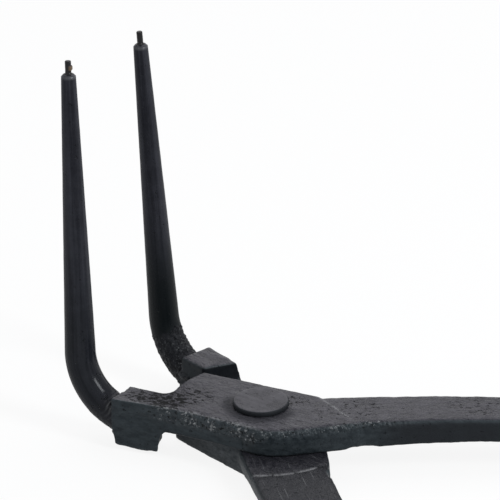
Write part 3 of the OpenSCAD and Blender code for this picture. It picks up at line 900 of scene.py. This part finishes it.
def makeProng(name, own):
    shape = prongShape
    piece = drawProng(name, own)
    swellRoot(piece, own)
    co = places(piece)
    bent, line, length = bendPlaces(co, own)
    offset = co - line
    upward = offset[:, 2] * np.cos(bent) - offset[:, 0] * np.sin(bent)
    around = np.arctan2(upward, offset[:, 1])
    paintFlow(piece, length, shape["width"] / 2 * np.cos(around), shape["width"] / 2 * np.sin(around))
    free = fade(co[:, 0], *shape["free"])
    wander, waves, waveStart = shape["ragged"]
    fineWander, fineWaves = shape["raggedFine"]
    rim = wander * np.sin(waves * around + waveStart) + fineWander * np.sin(fineWaves * around)
    fromRoot = length / mm
    rootWear = own["rootWear"] * hump(around, *shape["rootWear"])
    rootWear = rootWear * fade(fromRoot + rim, *shape["rootWearEnd"])
    scaled = own["scale"] * fade(fromRoot + rim, *own["scaled"]) * free
    scaled = np.maximum(scaled, rootWear * free)
    nearEnd = fade(co[:, 2], own["taper"], own["taper"] + shape["plainEnd"])
    piece.data.transform(prongPlace(own))
    paintGroup(piece, "rough", scaled)
    paintGroup(piece, "drawn", free * (1 - nearEnd))
    roughen(piece, "prongWaves", shape["broad"], "drawn")
    roughen(piece, "forgeScale", shape["scale"], "rough")
    rippleLength, rippleHeight = shape["rootRipple"]
    rippleSway, rippleWaves = shape["rippleWave"]
    phase = 2 * math.pi * length / rippleLength + shape["rippleSlant"] * around
    ripple = 0.5 + 0.5 * np.sin(phase + rippleSway * np.sin(rippleWaves * around))
    pushOut(piece, rippleHeight * rootWear * ripple)
    fromEnd = length.max() - length
    ring = fade(fromEnd, *shape["ring"])
    inBend = fade(upward / mm, *shape["bendInside"]) * fade(fromRoot, *shape["glossStart"])
    inBend = inBend * fade(fromRoot, *shape["glossEnd"])
    # painted highlight on the end ring; the weld ripples' crests are paler
    bare = shape["ringHighlight"] * ring * fade(fromEnd, 0, shape["ringEnd"])
    bare = np.maximum(bare, shape["paleCrests"] * rootWear * ripple ** 3)
    foot = own["foot"] * fade(fromRoot, *shape["footEnd"])
    paint(piece, pitting=shape["pits"] * scaled, gloss=np.maximum(own["gloss"] * inBend, ring), bare=bare,
          foot=foot, rootWear=rootWear)
    dress(piece, turnedBlack)
    return piece


leftProng = makeProng("leftProng", leftProngShape)
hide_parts("left_prong")
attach(leftProng, "upper_half")

rightProng = makeProng("rightProng", rightProngShape)
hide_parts("right_prong")
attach(rightProng, "lower_half")
for piece, node in ((leftProng, "left_prong"), (rightProng, "right_prong")):
    low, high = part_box(node)
    print(node, "off by mm", (places(piece).min(0) - low) / mm, (places(piece).max(0) - high) / mm)
print("prongs done")

# weld beads: the bead's ring, drawn up into ripples and lumps
beadShape = {
    "voxel": 0.16 * mm, "rounding": 4,
    "free": (4.6 * mm, 5.4 * mm),  # from the prong's middle, where the bead gets uneven
    "ripples": 15, "ripple": 0.5 * mm, "lump": (2.0 * mm, 1.1 * mm),
    "rippleSway": (0.9, 3, 0.7),  # how far, how often and from where their spacing wanders
    "nearFace": 4.6 * mm,  # the jaw block's sides, from the prong's middle
    "innerFace": 5.9 * mm, "nearPlain": 1.2 * mm, "outerRadius": 6.45 * mm,
    "nearKept": 0.1,  # shares of what stands past the block's sides
    "innerKept": 0.4,
    "drawnBack": 3.5 * mm,  # how far the weld runs on along that side
    "flat": (0.5 * mm, 0.1 * mm),
}
weldBlack = turnedMaterial("weldBlack", weldFinish)


def makeBead(node, name, own):
    shape = beadShape
    piece = copyNode(node, name)
    roundOff(piece, shape)
    place = np.array(prongPlace(own))
    inverse = np.linalg.inv(place)
    co = places(piece) @ inverse[:3, :3].T + inverse[:3, 3]
    angle = np.arctan2(co[:, 2], co[:, 1])
    near = -own["side"] * co[:, 1] > 0
    limit = np.where(near, shape["nearFace"], shape["innerFace"])
    over = np.abs(co[:, 1]) - limit
    free = fade(np.hypot(co[:, 1], co[:, 2]), *shape["free"])
    free = free * np.where(near, fade(over, 0, -shape["nearPlain"]), 1)
    back = fade(co[:, 0], *shape["flat"]) * (1 - np.clip(over / (shape["outerRadius"] - limit), 0, 1))
    co[:, 0] -= shape["drawnBack"] * back
    kept = np.where(near, shape["nearKept"], shape["innerKept"])
    co[:, 1] = np.sign(co[:, 1]) * (limit + np.where(over > 0, kept * over, over))
    movePlaces(piece, co @ place[:3, :3].T + place[:3, 3])
    sway, swayWaves, swayStart = shape["rippleSway"]
    phase = shape["ripples"] * angle + sway * np.sin(swayWaves * angle + swayStart)
    paintGroup(piece, "ripple", free * (0.5 + 0.5 * np.cos(phase)))
    paintGroup(piece, "free", free)
    raiseGroup(piece, "ripple", shape["ripple"])
    roughen(piece, "beadLumps", shape["lump"], "free")
    paint(piece, pitting=np.full(len(co), own["weldFlecks"]))
    paintFlow(piece, *co.T)
    dress(piece, weldBlack)
    return piece


leftBead = makeBead("left_weld_bead", "leftWeldBead", leftProngShape)
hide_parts("left_weld_bead")
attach(leftBead, "upper_half")

rightBead = makeBead("right_weld_bead", "rightWeldBead", rightProngShape)
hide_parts("right_weld_bead")
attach(rightBead, "lower_half")
print("weld beads done")

# tip pins: fine copies, with a smear of braze on the left one
pinShape = {
    "voxel": 0.09 * mm, "rounding": 3, "edgeMove": (0.004 * mm, 0.02 * mm),
    "waves": (0.9 * mm, 0.05 * mm), "radius": 0.9 * mm,
    "topPart": 1 * mm,  # its middle is the pin's axis
    "smearSide": (0.3, 0.9),  # share of the radius
    "smearTop": (1.3, 1.7),  # mm below the top
    "smearFoot": (3.1, 2.5),
}
leftSmear = {"toward": math.radians(15), "amount": 1.0, "thick": 0.38 * mm}
rightSmear = {"toward": 0.0, "amount": 0.0, "thick": 0.0}
tipSteel = tipMaterial("tipSteel", tipFinish)


def makePin(node, name, smear):
    shape = pinShape
    piece = copyNode(node, name)
    edge = fade(roundOff(piece, shape), *shape["edgeMove"])
    co = places(piece)
    top = co[:, 2].max()
    axisX, axisY = co[co[:, 2] > top - shape["topPart"]][:, :2].mean(0)
    side = (co[:, 0] - axisX) * math.cos(smear["toward"]) + (co[:, 1] - axisY) * math.sin(smear["toward"])
    drop = (top - co[:, 2]) / mm
    braze = smear["amount"] * fade(side / shape["radius"], *shape["smearSide"])
    braze = braze * fade(drop, *shape["smearTop"]) * fade(drop, *shape["smearFoot"])
    if smear["amount"] > 0:
        paintGroup(piece, "smear", braze)
        raiseGroup(piece, "smear", smear["thick"])
    roughen(piece, "pinWaves", shape["waves"])
    paint(piece, edge=edge, braze=braze)
    dress(piece, tipSteel)
    return piece


leftPin = makePin("left_tip_pin", "leftTipPin", leftSmear)
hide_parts("left_tip_pin")
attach(leftPin, "upper_half")

rightPin = makePin("right_tip_pin", "rightTipPin", rightSmear)
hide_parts("right_tip_pin")
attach(rightPin, "lower_half")
print("tip pins done")

# rivet: its head a little uneven from the hammer
rivetShape = {
    "voxel": 0.25 * mm, "rounding": 4, "edgeMove": (0.01 * mm, 0.06 * mm), "edgeWear": 0.45,
    "dents": (5 * mm, 0.1 * mm), "head": (17.2 * mm, 17.8 * mm), "top": (0.75, 0.96), "pits": 0.05,
}
rivet = copyNode("pivot_rivet", "pivotRivet")
edge = fade(roundOff(rivet, rivetShape), *rivetShape["edgeMove"])
co = places(rivet)
paintGroup(rivet, "head", fade(co[:, 2], *rivetShape["head"]))
roughen(rivet, "rivetDents", rivetShape["dents"], "head")
headTop = fade(facing(rivet)[:, 2], *rivetShape["top"])
# painted light: the head's top gets the lighter top colour; its sides get painted shade
paint(rivet, edge=rivetShape["edgeWear"] * edge, pitting=np.full(len(co), rivetShape["pits"]), top=headTop,
      dull=1 - headTop, matte=1 - headTop)
paintFlow(rivet, *co.T)
dress(rivet, forgedMaterial("rivetBlack", rivetFinish))
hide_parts("pivot_rivet")
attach(rivet, "lower_half")
print("rivet done")

# floor, light and camera
stageLook = {
    "floor": (0.82, 0.82, 0.82, 1), "floorSize": 6, "floorDrop": 0.25 * mm, "shadowShare": 0.12,
    "white": (1, 1, 1, 1), "worldLight": (0.93, 0.97, 1.0, 1), "worldStrength": 0.55,
    "aim": (0, 0, 0.03),
    "key": {"place": (-0.25, 0.35, 0.75), "size": (0.7, 0.7), "power": 2.9, "colour": (1, 0.97, 1)},
    "side": {"place": (0.67, 0.024, 0.55), "size": (0.2, 0.42), "power": 4.6, "colour": (0.97, 0.99, 1)},
}


def seenRays(tree):
    path = put(tree, "ShaderNodeLightPath").outputs
    seen = calc(tree, "MAXIMUM", path["Is Camera Ray"], path["Is Glossy Ray"])
    return calc(tree, "MAXIMUM", seen, path["Is Transmission Ray"])


bpy.ops.object.select_all(action="DESELECT")
bpy.ops.mesh.primitive_plane_add(size=stageLook["floorSize"], location=(0, 0, -stageLook["floorDrop"]))
floor = bpy.context.object
floor.name = "floor"
floorPaper = bpy.data.materials.new("floorPaper")
tree = emptyTree(floorPaper)
paper = put(tree, "ShaderNodeBsdfDiffuse", {"Color": stageLook["floor"]})
white = put(tree, "ShaderNodeEmission", {"Color": stageLook["white"], "Strength": 1.0})
share = times(tree, seenRays(tree), 1 - stageLook["shadowShare"])
mixed = put(tree, "ShaderNodeMixShader", {0: share, 1: paper.outputs[0], 2: white.outputs[0]})
put(tree, "ShaderNodeOutputMaterial", {"Surface": mixed.outputs[0]})
floor.data.materials.append(floorPaper)

world = scene.world or bpy.data.worlds.new("studio")
scene.world = world
tree = emptyTree(world)
dim = {"Color": stageLook["worldLight"], "Strength": stageLook["worldStrength"]}
light = put(tree, "ShaderNodeBackground", dim)
white = put(tree, "ShaderNodeBackground", {"Color": stageLook["white"], "Strength": 1.0})
mixed = put(tree, "ShaderNodeMixShader", {0: seenRays(tree), 1: light.outputs[0], 2: white.outputs[0]})
put(tree, "ShaderNodeOutputWorld", {"Surface": mixed.outputs[0]})

for name in ("key", "side"):
    look = stageLook[name]
    bpy.ops.object.light_add(type="AREA", location=look["place"])
    lamp = bpy.context.object
    lamp.name = name + "Lamp"
    lamp.data.shape = "RECTANGLE"
    lamp.data.size, lamp.data.size_y = look["size"]
    lamp.data.energy = look["power"]
    lamp.data.color = look["colour"]
    beam = Vector(stageLook["aim"]) - Vector(look["place"])
    lamp.rotation_euler = beam.to_track_quat("-Z", "Y").to_euler()

cameraShape = {
    "place": (459.134 * mm, -614.843 * mm, 412.527 * mm),
    "azimuth": math.radians(36.97), "elevation": math.radians(24.305), "roll": math.radians(-0.2723),
    "lens": 212.644, "sensor": 36.0, "farthest": 20,
}
bpy.ops.object.camera_add(location=cameraShape["place"])
camera = bpy.context.object
camera.matrix_world = (Matrix.Translation(cameraShape["place"])
                       @ Matrix.Rotation(cameraShape["azimuth"], 4, "Z")
                       @ Matrix.Rotation(math.pi / 2 - cameraShape["elevation"], 4, "X")
                       @ Matrix.Rotation(cameraShape["roll"], 4, "Z"))
camera.data.lens = cameraShape["lens"]
camera.data.sensor_width = cameraShape["sensor"]
camera.data.clip_end = cameraShape["farthest"]
scene.camera = camera
scene.view_settings.view_transform = "Standard"
print("stage done")
